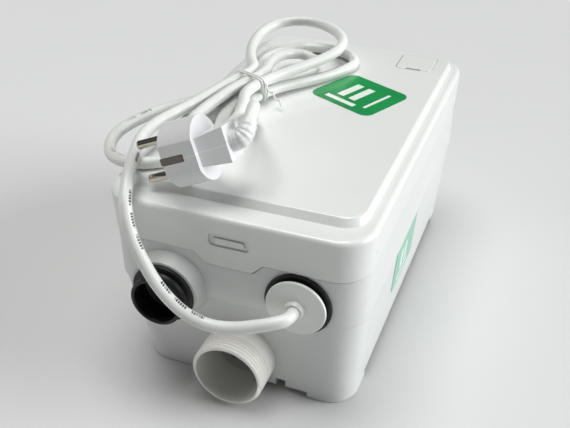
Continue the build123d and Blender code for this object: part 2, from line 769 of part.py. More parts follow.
def hank_points():
    """Three loops behind the tie and two in front of it, as they lie on the lid."""
    raised = [spot(-54, 160, 18), spot(-60, 179, 20.5), spot(-61, 200, 22), spot(-53, 218, 23.5),
              spot(-36, 225, 24), spot(-16, 219, 23.5), spot(-2, 205, 22), spot(0, 188, 20.5), spot(-7, 172, 19),
              spot(-17, 156, 18)]
    small = [spot(-30, 94, 17), spot(-26, 74, 16.5), spot(-30, 57, 16), spot(-42, 51, 16), spot(-51, 62, 16),
             spot(-50.5, 82, 16.5), spot(-47.5, 100, 17)]
    inner = [spot(-40, 160, 16.5), spot(-40, 180, 14.5), spot(-30, 194, 12), spot(-17, 191, 9.5),
             spot(-16, 176, 8), spot(-26, 158, 8.2)]
    front = [spot(-44, 96, 8.2), spot(-38, 75, 7.7), spot(-35, 56, 7.7), spot(-41, 40, 7.7), spot(-53, 29, 7.7),
             spot(-66, 22.5, 7.6), spot(-80, 26, 6.5), spot(-90, 37, 5.5), spot(-95, 52, 6), spot(-92, 68, 7),
             spot(-84, 85, 7.7), spot(-71, 103, 8)]
    flat = [spot(-50, 162, 7.9), spot(-54, 182, 7.7), spot(-48, 203, 7.7), spot(-33, 216, 7.7),
            spot(-14, 218, 7.7), spot(3, 211, 7.7), spot(9, 197, 7.7), spot(2, 180, 7.7), spot(-9, 163, 7.9)]
    boot_corner, boot_end = boot_route()[1:]
    before_boot = tuple(2 * end - corner for corner, end in zip(boot_corner, boot_end))
    tail = [spot(-22, 94, 8.4), spot(-18, 85, 13.5), spot(-13, 74, 24), spot(-4, 58, 38), before_boot, boot_end]
    points = [lid_run_points[-1], strand(-1, 1, -1), strand(-1, 1, 1), *raised]
    points += [strand(1, 1, 1), strand(1, 1, -1), *small]
    points += [strand(0, 1, -1), strand(0, 1, 1), *inner]
    points += [strand(0, 0, 1), strand(0, 0, -1), *front]
    points += [strand(-1, 0, -1), strand(-1, 0, 1), *flat]
    points += [strand(1, 0, 1), strand(1, 0, -1), *tail]
    return points


def cord_lead():
    return bent_tube(lead_points, cord_radius, "cord lead")


def cord_lid_run():
    return bent_tube(lid_run_points, cord_radius, "cord on the lid")


def cord_hank():
    return bent_tube(hank_points(), cord_radius, "cord hank")


def twist_tie():
    across = 2 * (strand_step + cord_radius) + 0.4
    up = strand_step + 2 * cord_radius + 0.4
    frame = Plane(origin=spot(tie_x, tie_depth, lower_strand + strand_step / 2),
                  x_dir=(tie_along[1], -tie_along[0], 0), z_dir=(tie_along[0], tie_along[1], 0))
    ring = RectangleRounded(across + 2, up + 2, 4.7) - RectangleRounded(across, up, 3.7)
    tie = extrude(ring, 1.5, both=True)
    tie += Pos(across / 2 + 4, up / 2 - 3, 0) * Rot(0, 0, 35) * Box(9, 1.2, 2.4)
    return frame * tie


def group(solids):
    return Compound(children=list(solids))


parts = {
    "tank": tank,
    "lid": lid,
    "lid_seal": lid_seal,
    "filter_cover": filter_cover,
    "charcoal_filter": charcoal_filter,
    "inlet_spigot": inlet_spigot,
    "inlet_flap": inlet_flap,
    "inlet_flap_pin": inlet_flap_pin,
    "discharge_sleeve": discharge_sleeve,
    "check_valve_body": check_valve_body,
    "check_flap": check_flap,
    "check_flap_pin": check_flap_pin,
    "discharge_hose": discharge_hose,
    "hose_clamps": hose_clamps,
    "pump_volute": pump_volute,
    "intake_strainer": intake_strainer,
    "rubber_mounts": rubber_mounts,
    "mount_screws": mount_screws,
    "impeller": impeller,
    "cutter_blade": cutter_blade,
    "motor_shaft": motor_shaft,
    "rotor_core": rotor_core,
    "seal_housing": seal_housing,
    "shaft_seal": shaft_seal,
    "lower_bearing": lambda: bearing(can_base + 0.1),
    "upper_bearing": lambda: bearing(can_top - 10.6),
    "motor_can": motor_can,
    "motor_cap": motor_cap,
    "cap_screws": cap_screws,
    "stator": stator,
    "stator_windings": stator_windings,
    "capacitor": capacitor,
    "capacitor_clip": capacitor_clip,
    "control_box": control_box,
    "float_pin": float_pin,
    "float_arm": float_arm,
    "level_float": level_float,
    "cable_grommet": cable_grommet,
    "gland_disc": gland_disc,
    "gland_nut": gland_nut,
    "inner_lead": inner_lead,
    "cord_lead": cord_lead,
    "cord_lid_run": cord_lid_run,
    "cord_hank": cord_hank,
    "twist_tie": twist_tie,
    "plug_body": plug_body,
    "plug_pins": plug_pins,
    "earth_contacts": earth_contacts,
    "plug_boot": plug_boot,
}

os.makedirs("parts", exist_ok=True)
for name, make in parts.items():
    shape = make()
    if isinstance(shape, (list, tuple)):
        shape = group(shape)
    export_step(shape, "parts/" + name + ".step")
    print(name, "done")
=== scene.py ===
import json
from math import cos, radians, sin, tau
import bmesh
import bpy
from mathutils import Matrix, Vector
from mathutils.kdtree import KDTree


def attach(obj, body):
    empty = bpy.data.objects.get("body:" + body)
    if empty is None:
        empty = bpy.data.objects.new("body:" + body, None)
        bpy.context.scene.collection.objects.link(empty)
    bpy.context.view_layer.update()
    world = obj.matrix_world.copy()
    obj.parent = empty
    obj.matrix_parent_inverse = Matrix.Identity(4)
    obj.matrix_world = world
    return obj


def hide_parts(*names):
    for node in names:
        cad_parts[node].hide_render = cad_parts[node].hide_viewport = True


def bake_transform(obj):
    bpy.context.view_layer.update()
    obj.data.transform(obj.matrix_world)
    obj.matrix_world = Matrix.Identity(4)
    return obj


# A small lifting pump for waste water. Metres, +Z up, the ports on the -Y side.
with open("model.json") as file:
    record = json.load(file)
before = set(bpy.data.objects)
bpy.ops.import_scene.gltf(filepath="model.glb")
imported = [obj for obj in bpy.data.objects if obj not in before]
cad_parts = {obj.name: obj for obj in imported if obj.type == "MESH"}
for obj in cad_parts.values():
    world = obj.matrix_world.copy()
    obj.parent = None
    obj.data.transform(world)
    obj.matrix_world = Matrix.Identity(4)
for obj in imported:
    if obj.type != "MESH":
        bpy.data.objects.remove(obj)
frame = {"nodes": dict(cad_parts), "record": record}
nodes = frame["nodes"]
mounts = {mount["name"]: mount for mount in frame["record"]["mounts"]}
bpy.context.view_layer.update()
print("frame loaded", len(nodes), "nodes")

lidRim = {
    "front": -0.11475,      # the lid's front edge
    "height": 0.117,        # the lid's outer rim above the floor
}

plug = {
    "middle": (-36, 17, 22),               # in the millimetres that spot takes
    "ahead": (-0.924, -0.124, -0.360),     # the way the pins point
    "row": (0.375, -0.17, -0.91),          # from pin to pin
    "cordEnd": (1.5, 30.5, 42),            # where the boot lets go of the cord
}


def spot(x, depth, above):
    # millimetres from the lid's front edge, at the height of its rim
    return Vector((x, depth, above)) * 0.001 + Vector((0, lidRim["front"], lidRim["height"]))


def standAt(place, side, ahead):
    # a frame with X to the side and Z ahead
    side = (side - ahead * side.dot(ahead)).normalized()
    turn = Matrix((side, ahead.cross(side), ahead)).transposed().to_4x4()
    return Matrix.Translation(place) @ turn


# Shader helpers

class Wire:
    # a socket that can stand in a sum
    def __init__(self, tree, socket):
        self.tree = tree
        self.socket = socket

    def maths(self, operation, first, second):
        node = self.tree.nodes.new("ShaderNodeMath")
        node.operation = operation
        feed(self.tree, node.inputs[0], first)
        feed(self.tree, node.inputs[1], second)
        return Wire(self.tree, node.outputs[0])

    def __add__(self, other):
        return self.maths("ADD", self, other)

    def __radd__(self, other):
        return self.maths("ADD", other, self)

    def __sub__(self, other):
        return self.maths("SUBTRACT", self, other)

    def __rsub__(self, other):
        return self.maths("SUBTRACT", other, self)

    def __mul__(self, other):
        return self.maths("MULTIPLY", self, other)

    def __rmul__(self, other):
        return self.maths("MULTIPLY", other, self)

    def __mod__(self, other):
        return self.maths("FLOORED_MODULO", self, other)

    def __gt__(self, other):
        return self.maths("GREATER_THAN", self, other)

    def __lt__(self, other):
        return self.maths("LESS_THAN", self, other)

    def absolute(self):
        return self.maths("ABSOLUTE", self, 0.0)


def feed(tree, socket, value):
    if isinstance(value, Wire):
        tree.links.new(value.socket, socket)
    else:
        socket.default_value = value


def darker(colour, share):
    return tuple(c * share for c in colour)


class Finish:
    # one material, built up node by node
    def __init__(self, name, colour, roughness, **fixed):
        self.material = bpy.data.materials.new(name)
        self.material.use_nodes = True
        self.tree = self.material.node_tree
        self.tree.nodes.clear()
        self.shader = self.tree.nodes.new("ShaderNodeBsdfPrincipled")
        output = self.tree.nodes.new("ShaderNodeOutputMaterial")
        self.tree.links.new(self.shader.outputs[0], output.inputs[0])
        self.set("Base Color", (*colour, 1))
        self.set("Roughness", roughness)
        for label, value in fixed.items():
            self.set(label, value)
        self.place = self.node("ShaderNodeTexCoord", take="Object")

    def set(self, label, value):
        feed(self.tree, self.shader.inputs[label], value)

    def node(self, kind, settings=None, values=None, take=0):
        made = self.tree.nodes.new(kind)
        for label, value in (settings or {}).items():
            setattr(made, label, value)
        for label, value in (values or {}).items():
            feed(self.tree, made.inputs[label], value)
        return Wire(self.tree, made.outputs[take])

    def noise(self, scale, detail=2.0, roughness=0.5, where=None):
        values = {"Vector": where or self.place, "Scale": scale, "Detail": detail, "Roughness": roughness}
        return self.node("ShaderNodeTexNoise", None, values)

    def stretch(self, x, y, z):
        return self.node("ShaderNodeMapping", None, {"Vector": self.place, "Scale": (x, y, z)})

    def patches(self, scale, low, high, detail=2.0, roughness=0.5):
        # cloudy patches with soft edges, none below low and full above high
        values = {"Value": self.noise(scale, detail, roughness), "From Min": low, "From Max": high}
        return self.node("ShaderNodeMapRange", {"interpolation_type": "SMOOTHSTEP"}, values)

    def blendColours(self, first, second, share):
        # the Mix node's colours are its inputs 6 and 7 and its output 2
        first, second = (side if isinstance(side, Wire) else (*side, 1) for side in (first, second))
        return self.node("ShaderNodeMix", {"data_type": "RGBA"}, {0: share, 6: first, 7: second}, take=2)

    def edges(self, radius):
        return self.node("ShaderNodeBevel", {"samples": 6}, {"Radius": radius})

    def bump(self, height, strength, distance, normal=None):
        values = {"Height": height, "Strength": strength, "Distance": distance}
        if normal is not None:
            values["Normal"] = normal
        return self.node("ShaderNodeBump", None, values)


# Moulded plastics

plasticLooks = {
    "lidPlastic": {
        "colour": (0.765, 0.780, 0.760), "shade": 0.965, "roughness": 0.27, "rubbed": 0.10,
        "coat": 0.35, "coatRoughness": 0.12, "glow": 0.04,
        "grain": 1300.0, "grainDepth": 0.18, "edge": 0.0008},
    "tankPlastic": {
        "colour": (0.700, 0.715, 0.705), "shade": 0.955, "roughness": 0.31, "rubbed": 0.10,
        "coat": 0.28, "coatRoughness": 0.16, "glow": 0.04,
        "grain": 1200.0, "grainDepth": 0.22, "edge": 0.0012},
    "creamPlastic": {
        "colour": (0.850, 0.840, 0.795), "shade": 0.95, "roughness": 0.34, "rubbed": 0.12,
        "coat": 0.2, "coatRoughness": 0.2, "glow": 0.06,
        "grain": 1500.0, "grainDepth": 0.2, "edge": 0.0005},
    "whitePlastic": {
        "colour": (0.835, 0.850, 0.815), "shade": 0.96, "roughness": 0.36, "rubbed": 0.08,
        "coat": 0.15, "coatRoughness": 0.2, "glow": 0.05,
        "grain": 1500.0, "grainDepth": 0.2, "edge": 0.0004},
    "plugPlastic": {
        "colour": (0.735, 0.735, 0.740), "shade": 0.95, "roughness": 0.34, "rubbed": 0.10,
        "coat": 0.15, "coatRoughness": 0.2, "glow": 0.05,
        "grain": 1800.0, "grainDepth": 0.25, "edge": 0.0005,
        # the seam's pale colour is a painted highlight along the raised line
        "seam": {"middle": plug["middle"], "across": plug["row"], "half": 0.00022,
                 "pale": (0.88, 0.88, 0.88), "rise": 2.5}},
    "greyPlastic": {
        "colour": (0.190, 0.200, 0.210), "shade": 0.85, "roughness": 0.48, "rubbed": 0.12,
        "coat": 0.05, "coatRoughness": 0.3, "glow": 0.0,
        "grain": 1400.0, "grainDepth": 0.35, "edge": 0.0005},
    "floatPlastic": {
        "colour": (0.620, 0.200, 0.040), "shade": 0.88, "roughness": 0.42, "rubbed": 0.12,
        "coat": 0.08, "coatRoughness": 0.3, "glow": 0.02,
        "grain": 1400.0, "grainDepth": 0.3, "edge": 0.0005},
}
mouldedWall = {                         # what all the plastics share
    "ripple": 90.0, "rippleShare": 0.6, "depth": 0.00012, "coatWear": 0.25, "glowReach": (0.004, 0.004, 0.003),
}


def mouldedPlastic(name, look):
    made = Finish(name, look["colour"], look["roughness"], IOR=1.5)
    drift = made.patches(9.0, low=0.35, high=0.7, detail=3.0)          # slow shade changes of thick walls
    rubbed = made.patches(16.0, low=0.25, high=0.85, detail=1.0, roughness=0.4)
    shade = made.blendColours(look["colour"], darker(look["colour"], look["shade"]), drift)
    grain = made.noise(look["grain"]) + made.noise(mouldedWall["ripple"]) * mouldedWall["rippleShare"]
    if "seam" in look:                                # a fine raised line where two moulded halves meet, coloured paler as a painted highlight along its ridge
        seam = look["seam"]
        across = Vector(seam["across"]).normalized()
        offset = made.node("ShaderNodeVectorMath", {"operation": "DOT_PRODUCT"},
                           {0: made.place, 1: across}, take="Value")
        line = (offset - spot(*seam["middle"]).dot(across)).absolute() < seam["half"]
        # painted highlight: the seam line is coloured paler than the plastic
        shade = made.blendColours(shade, seam["pale"], line)
        grain = grain + line * seam["rise"]
    made.set("Base Color", shade)
    made.set("Roughness", look["roughness"] + rubbed * look["rubbed"])
    made.set("Coat Weight", look["coat"] - rubbed * (look["coat"] * mouldedWall["coatWear"]))
    made.set("Coat Roughness", look["coatRoughness"])
    made.set("Subsurface Weight", look["glow"])
    made.set("Subsurface Radius", mouldedWall["glowReach"])
    made.set("Normal", made.bump(grain, look["grainDepth"], mouldedWall["depth"], made.edges(look["edge"])))
    return made.material


# Rubber, metals, paint, wire and foam

rubberLook = {"colour": (0.0045, 0.0045, 0.0065), "dust": (0.016, 0.016, 0.019), "roughness": 0.46,
              "dustRoughness": 0.25}


def blackRubber():
    look = rubberLook
    made = Finish("blackRubber", look["colour"], look["roughness"], IOR=1.48)
    dust = made.patches(120.0, low=0.55, high=0.8, detail=6.0, roughness=0.7)
    made.set("Base Color", made.blendColours(look["colour"], look["dust"], dust))
    made.set("Roughness", look["roughness"] + dust * look["dustRoughness"])
    skin = made.noise(900.0, detail=3.0)
    made.set("Normal", made.bump(skin, strength=0.3, distance=0.0001, normal=made.edges(0.0005)))
    return made.material


metalLooks = {
    "nickel": {"colour": (0.60, 0.555, 0.47), "roughness": 0.16, "drawn": (1.0, 6.0, 1.0)},
    # the earth contacts' nickel, darkened as painted shade for the recesses they sit in
    "dullNickel": {"colour": (0.17, 0.15, 0.135), "roughness": 0.30, "drawn": (1.0, 6.0, 1.0)},
    "steel": {"colour": (0.46, 0.46, 0.47), "roughness": 0.32, "drawn": (6.0, 6.0, 1.0)},
}


def metal(name, look):
    colour, roughness = look["colour"], look["roughness"]
    made = Finish(name, colour, roughness, Metallic=1.0)
    streaks = made.noise(300.0, detail=4.0, roughness=0.6, where=made.stretch(*look["drawn"]))
    spots = made.patches(70.0, low=0.5, high=0.8, detail=4.0)
    made.set("Roughness", roughness * 0.7 + streaks * (roughness * 0.5) + spots * 0.08)
    made.set("Base Color", made.blendColours(colour, darker(colour, 0.78), spots))
    made.set("Normal", made.bump(streaks, strength=0.15, distance=0.00006, normal=made.edges(0.0003)))
    return made.material


paintLook = {"colour": (0.022, 0.025, 0.030), "primer": (0.18, 0.17, 0.16), "roughness": 0.42,
             "smooth": 0.38, "peel": 0.12}


def motorPaint():
    look = paintLook
    made = Finish("motorPaint", look["colour"], look["roughness"])
    peel = made.noise(420.0, detail=3.0)
    chipped = made.patches(150.0, low=0.68, high=0.74, detail=6.0, roughness=0.7)
    made.set("Base Color", made.blendColours(look["colour"], look["primer"], chipped))
    made.set("Roughness", look["smooth"] + peel * look["peel"])
    made.set("Normal", made.bump(peel, strength=0.35, distance=0.00012, normal=made.edges(0.0006)))
    return made.material


copperLook = {"colour": (0.56, 0.23, 0.09), "between": (0.30, 0.10, 0.04), "roughness": 0.36}


def copperWire():
    look = copperLook
    made = Finish("copperWire", look["colour"], look["roughness"], Metallic=1.0)
    turns = made.noise(260.0, where=made.stretch(1.0, 1.0, 8.0))
    made.set("Base Color", made.blendColours(look["colour"], look["between"], turns))
    made.set("Normal", made.bump(turns, strength=0.8, distance=0.0004))
    return made.material


# the pores' colour is painted shade for the insides of the pores; the walls keep the foam's own black
foamLook = {"colour": (0.020, 0.020, 0.021), "pore": (0.006, 0.006, 0.006), "wall": (0.045, 0.045, 0.047),
            "roughness": 0.9, "poreScale": 700.0}


def charcoalFoam():
    look = foamLook
    made = Finish("charcoalFoam", look["colour"], look["roughness"])
    pores = made.node("ShaderNodeTexVoronoi", None, {"Vector": made.place, "Scale": look["poreScale"]})
    # painted shade: the sunk pores are coloured darker than the cell walls
    made.set("Base Color", made.blendColours(look["pore"], look["wall"], pores))
    made.set("Normal", made.bump(pores, strength=0.9, distance=0.0006))
    return made.material


# Soft white cord vinyl with a row of plain printed dashes along it

cordLook = {
    "colour": (0.750, 0.760, 0.735), "pale": (0.760, 0.770, 0.745), "dull": (0.690, 0.700, 0.672),
    "roughness": 0.42, "smooth": 0.36, "rubbed": 0.14, "glow": 0.06, "glowReach": (0.003, 0.003, 0.0025),
    "cores": 3.0, "layTurn": 95.0,      # the cores' lay, in radians for each metre
}
cordDashes = {
    "ink": (0.045, 0.047, 0.055), "period": 0.052, "dash": 0.0085, "gap": 0.0035, "group": 3,
    "tick": 0.0011, "tickPeriod": 0.0016,
    "line": 0.53, "row": 0.046,         # place and half height, as shares of the way round
    "first": 0.041,                     # bare from the gland to here
    "fresh": 0.17, "fade": 0.92,        # clear up to here, then faded in patches
}


def cordVinyl():
    look, dashes = cordLook, cordDashes
    made = Finish("cordVinyl", look["colour"], look["roughness"], IOR=1.5)
    along = made.node("ShaderNodeAttribute", {"attribute_name": "along"}, take="Fac")
    around = made.node("ShaderNodeAttribute", {"attribute_name": "around"}, take="Fac")
    pitch = dashes["dash"] + dashes["gap"]
    place = along % dashes["period"]
    stroke = (place % pitch) < dashes["dash"]
    inGroup = place < pitch * dashes["group"]
    broken = (along % dashes["tickPeriod"]) < dashes["tick"]          # each dash is a row of short ticks
    nearLine = (around - dashes["line"]).absolute() < dashes["row"]
    worn = made.patches(500.0, low=0.30, high=0.45, detail=3.0)
    gone = made.patches(14.0, low=0.36, high=0.50)
    faded = 1.0 - (along > dashes["fresh"]) * gone * dashes["fade"]
    ink = stroke * inGroup * nearLine * broken * worn * faded * (along > dashes["first"])
    white = made.blendColours(look["pale"], look["dull"], made.patches(30.0, low=0.35, high=0.7, detail=3.0))
    made.set("Base Color", made.blendColours(white, dashes["ink"], ink))
    rubbed = made.patches(60.0, low=0.5, high=0.75, detail=5.0, roughness=0.6)
    made.set("Roughness", look["smooth"] + rubbed * look["rubbed"])
    made.set("Subsurface Weight", look["glow"])
    made.set("Subsurface Radius", look["glowReach"])
    # the cores inside show as a faint lay under the sheath
    lay = made.node("ShaderNodeMath", {"operation": "SINE"},
                    {0: along * look["layTurn"] + around * tau * look["cores"]})
    made.set("Normal", made.bump(lay * 0.35 + made.noise(1100.0) * 0.3, strength=0.22, distance=0.00025))
    return made.material


finishes = {name: mouldedPlastic(name, look) for name, look in plasticLooks.items()}
finishes["blackRubber"] = blackRubber()
for name, look in metalLooks.items():
    finishes[name] = metal(name, look)
finishes["motorPaint"] = motorPaint()
finishes["copperWire"] = copperWire()
finishes["charcoalFoam"] = charcoalFoam()
finishes["cordVinyl"] = cordVinyl()
print("finishes made", len(finishes))

slotFinish = {
    "tank_plastic": "tankPlastic", "lid_plastic": "lidPlastic", "cream_plastic": "creamPlastic",
    "black_rubber": "blackRubber", "white_plastic": "whitePlastic", "cord_white": "cordVinyl",
    "plug_white": "plugPlastic", "nickel": "nickel", "steel": "steel", "motor_paint": "motorPaint",
    "grey_plastic": "greyPlastic", "copper": "copperWire", "charcoal": "charcoalFoam",
    "orange_plastic": "floatPlastic",
}
nodeFinish = {"earth_contacts": "dullNickel"}            # a darker copy of the slot's nickel: painted shade, for the shade of the recesses they sit in
for row in frame["record"]["subparts"]:
    material = finishes[nodeFinish.get(row["node"], slotFinish[row["material_slot"]])]
    nodes[row["node"]].data.materials.clear()
    nodes[row["node"]].data.materials.append(material)
print("solids dressed")


# Mesh helpers

def newPiece(name, mesh, finish, smoothAngle):
    piece = bpy.data.objects.new(name, mesh)
    bpy.context.scene.collection.objects.link(piece)
    mesh.materials.clear()
    mesh.materials.append(finishes[finish])
    mesh.shade_smooth()
    mesh.set_sharp_from_angle(angle=radians(smoothAngle))
    return piece


def meshFrom(name, bm):
    mesh = bpy.data.meshes.new(name)
    bm.to_mesh(mesh)
    bm.free()
    return mesh


def closedOutline(bm, places):
    points = [bm.verts.new(place) for place in places]
    edges = [bm.edges.new(pair) for pair in zip(points, points[1:] + points[:1])]
    return points, edges


def turnedAlongY(profile, x, z, steps):
    # profile points are (radius, y), closed round the wall of the piece
    bm = bmesh.new()
    points, edges = closedOutline(bm, [(x + radius, y, z) for radius, y in profile])
    bmesh.ops.spin(bm, geom=points + edges, cent=(x, 0, z), axis=(0, 1, 0), angle=tau, steps=steps,
                   use_merge=True, use_duplicate=False)
    bmesh.ops.remove_doubles(bm, verts=bm.verts, dist=1e-6)
    bmesh.ops.recalc_face_normals(bm, faces=bm.faces)
    return bm


def softCorner(centreR, centreY, radius, start, end, steps):
    # points of a small round on a turned profile, angles in degrees
    spread = [radians(start + (end - start) * i / steps) for i in range(steps + 1)]
    return [(centreR + radius * cos(a), centreY + radius * sin(a)) for a in spread]


# Inlet spigot with its fine pipe thread

inlet = mounts["inlet_thread"]
spigot = {
    "x": inlet["pos_m"][0], "z": inlet["pos_m"][2], "thread": inlet["dims"]["r_mm"] / 1000,
    "reach": inlet["dims"]["length_mm"] / 1000,         # in front of the lid's edge
    "bore": 0.0185, "root": 0.01975, "lip": 0.0006, "steps": 120,
    "plain": 0.0052,                                    # how much of the reach has no thread
    "backEnd": 0.0096,                                  # behind the lid's edge
    "pitch": 0.00231, "runOut": 0.0018, "foot": 0.00115, "crown": 0.00028, "sunk": 0.0002, "perTurn": 96,
}


def cutThread(bm, s, start):
    # one ridge, swept round and back along the spigot, its foot a little inside the wall
    turns = (s["reach"] - s["plain"] - s["runOut"]) / s["pitch"]
    steps = round(turns * s["perTurn"])
    low = s["root"] - s["sunk"]
    ridge = [(low, -s["foot"]), (s["thread"], -s["crown"]), (s["thread"], s["crown"]), (low, s["foot"])]
    points, edges = closedOutline(bm, [(s["x"] + r, start + y, s["z"]) for r, y in ridge])
    bm.faces.new(points)
    swept = bmesh.ops.spin(bm, geom=points + edges, cent=(s["x"], 0, s["z"]), axis=(0, -1, 0),
                           dvec=(0, turns * s["pitch"] / steps, 0), angle=tau * turns, steps=steps,
                           use_duplicate=False)
    lastPoints = [v for v in swept["geom_last"] if isinstance(v, bmesh.types.BMVert)]
    bmesh.ops.contextual_create(bm, geom=lastPoints)


def makeSpigot(s):
    tip = lidRim["front"] - s["reach"]
    step = lidRim["front"] - s["plain"]
    back = lidRim["front"] + s["backEnd"]
    profile = [(s["bore"], tip + s["lip"]), (s["bore"] + s["lip"], tip), (s["root"] - s["lip"], tip),
               (s["root"], tip + s["lip"]), (s["root"], step - s["lip"]), (s["thread"], step),
               (s["thread"], back), (s["bore"], back)]
    bm = turnedAlongY(profile, s["x"], s["z"], s["steps"])
    cutThread(bm, s, tip + s["lip"])
    bmesh.ops.recalc_face_normals(bm, faces=bm.faces)
    piece = newPiece("spigotWithThread", meshFrom("spigotWithThread", bm), "creamPlastic", smoothAngle=28)
    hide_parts("inlet_spigot")
    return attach(piece, "tank_body")


makeSpigot(spigot)
print("spigot made")


# Rubber discharge sleeve

socket = mounts["discharge_socket"]
sleeve = {
    "x": socket["pos_m"][0], "z": socket["pos_m"][2], "bore": socket["dims"]["r_mm"] / 1000,
    "relief": 0.0132, "mouth": 0.0150, "waist": 0.01415, "collar": 0.0182, "plug": 0.01615,     # radii
    "reach": 0.0185, "step": 0.010, "boss": 0.008,       # in front of the lid's edge
    "lipEnd": 0.0026, "waistStart": 0.0046,              # behind the mouth
    "waistEnd": 0.0010, "seat": 0.0002,                  # in front of the step
    "round": 0.0006, "reliefLead": 0.0001, "inset": 0.003, "steps": 96,
}


def makeSleeve(s):
    mouth, step, boss = (lidRim["front"] - s[where] for where in ("reach", "step", "boss"))
    lip = (s["mouth"] - s["bore"]) / 2
    profile = [(s["relief"], boss + s["inset"]), (s["relief"], boss - s["reliefLead"]),
               (s["bore"], boss - s["reliefLead"]), (s["bore"], mouth + lip)]
    profile += softCorner(s["bore"] + lip, mouth + lip, lip, start=180, end=360, steps=8)[1:]
    profile += [(s["mouth"], mouth + s["lipEnd"]), (s["waist"], mouth + s["waistStart"]),
                (s["waist"], step - s["waistEnd"]), (s["waist"] + s["round"], step - s["seat"])]
    profile += softCorner(s["collar"] - s["round"], step + s["round"], s["round"], start=-90, end=0, steps=4)
    profile += [(s["collar"], boss), (s["plug"], boss), (s["plug"], boss + s["inset"])]
    bm = turnedAlongY(profile, s["x"], s["z"], s["steps"])
    piece = newPiece("dischargeSleeve", meshFrom("dischargeSleeve", bm), "blackRubber", smoothAngle=40)
    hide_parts("discharge_sleeve")
    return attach(piece, "tank_body")


makeSleeve(sleeve)
print("sleeve made")


# Mains cord: out of the gland, up over the front edge, bundled on the lid, back to the plug

cordFacts = {
    "radius": 0.0035, "length": 1.42, "ring": 6, "resolution": 12,
    "tieX": -40.0, "tieDepth": 129.0, "along": (0.35, 0.937),    # middle and heading of the tied strands
    "half": 14.0, "step": 8.0, "lower": 9.2,                     # millimetres, as in the route
    "stretchLow": 0.0745, "stretchHigh": 0.119,                  # the lead stretches between these heights
}


def strand(slot, layer, ahead):
    # a point of the tied bundle: slot sideways, layer up, ahead along it
    alongX, alongY = cordFacts["along"]
    aside, forward = slot * cordFacts["step"], ahead * cordFacts["half"]
    x = cordFacts["tieX"] + aside * alongY + forward * alongX
    depth = cordFacts["tieDepth"] - aside * alongX + forward * alongY
    return (x, depth, cordFacts["lower"] + layer * cordFacts["step"])


def cordRoute():
    lead = [(39.8, -6.4, -44.2), (39.8, -12.2, -44.2), (34, -17.5, -44.6), (21, -21.5, -48),
            (10.5, -23.5, -50.3), (-1, -24.5, -51), (-12, -25, -47.5), (-21.5, -25, -40.5), (-30, -24.8, -30),
            (-37, -23.5, -18), (-42.5, -21, -10), (-47.5, -16.5, -1.5), (-49.5, -13.5, 2.5)]
    overLid = [(-51.5, -10.5, 6.5), (-55, -1.5, 11.5), (-59, 10, 14.3), (-63.8, 24, 15.6), (-69.3, 40, 15.6),
               (-68.7, 57.6, 16), (-63.9, 74, 16), (-58.8, 88.4, 16.5)]
    raised = [(-54, 160, 18), (-60, 179, 20.5), (-61, 200, 22), (-53, 218, 23.5), (-36, 225, 24),
              (-16, 219, 23.5), (-2, 205, 22), (0, 188, 20.5), (-7, 172, 19), (-17, 156, 18)]
    small = [(-30, 94, 17), (-26, 74, 16.5), (-30, 57, 16), (-42, 51, 16), (-51, 62, 16), (-50.5, 82, 16.5),
             (-47.5, 100, 17)]
    inner = [(-40, 160, 16.5), (-40, 180, 14.5), (-30, 194, 12), (-17, 191, 9.5), (-16, 176, 8),
             (-26, 158, 8.2)]
    frontLoop = [(-44, 96, 8.2), (-38, 75, 7.7), (-35, 56, 7.7), (-41, 40, 7.7), (-53, 29, 7.7),
                 (-66, 22.5, 7.6), (-80, 26, 6.5), (-90, 37, 5.5), (-95, 52, 6), (-92, 68, 7),
                 (-84, 85, 7.7), (-71, 103, 8)]
    flat = [(-50, 162, 7.9), (-54, 182, 7.7), (-48, 203, 7.7), (-33, 216, 7.7), (-14, 218, 7.7),
            (3, 211, 7.7), (9, 197, 7.7), (2, 180, 7.7), (-9, 163, 7.9)]
    tail = [(-22, 94, 8.4), (-19, 85, 13.5), (-15, 74, 24), (-7, 57, 37), (0.7, 38.7, 46.6), plug["cordEnd"]]
    points = [*lead, *overLid, strand(-1, 1, -1), strand(-1, 1, 1), *raised]
    points += [strand(1, 1, 1), strand(1, 1, -1), *small]
    points += [strand(0, 1, -1), strand(0, 1, 1), *inner]
    points += [strand(0, 0, 1), strand(0, 0, -1), *frontLoop]
    points += [strand(-1, 0, -1), strand(-1, 0, 1), *flat]
    points += [strand(1, 0, 1), strand(1, 0, -1), *tail]
    return [spot(*p) for p in points]


def smoothLine(name, points, resolution, bevel=0.0, ring=0):
    curve = bpy.data.curves.new(name, "CURVE")
    curve.dimensions = "3D"
    spline = curve.splines.new("NURBS")
    spline.points.add(len(points) - 1)
    for point, place in zip(spline.points, points):
        point.co = (*place, 1)
    spline.order_u = 3
    spline.use_endpoint_u = True
    spline.resolution_u = resolution
    curve.resolution_u = resolution
    curve.bevel_depth = bevel
    curve.bevel_resolution = ring
    curve.use_fill_caps = bevel > 0
    holder = bpy.data.objects.new(name + "Line", curve)
    bpy.context.scene.collection.objects.link(holder)
    bpy.context.view_layer.update()
    mesh = bpy.data.meshes.new_from_object(holder.evaluated_get(bpy.context.evaluated_depsgraph_get()))
    bpy.data.objects.remove(holder)
    bpy.data.curves.remove(curve)
    mesh.name = name
    return mesh


def pathThrough(name, points, resolution):
    line = smoothLine(name, points, resolution)
    path = [v.co.copy() for v in line.vertices]
    bpy.data.meshes.remove(line)
    return path


def heading(path, index):
    return (path[min(index + 1, len(path) - 1)] - path[max(index - 1, 0)]).normalized()


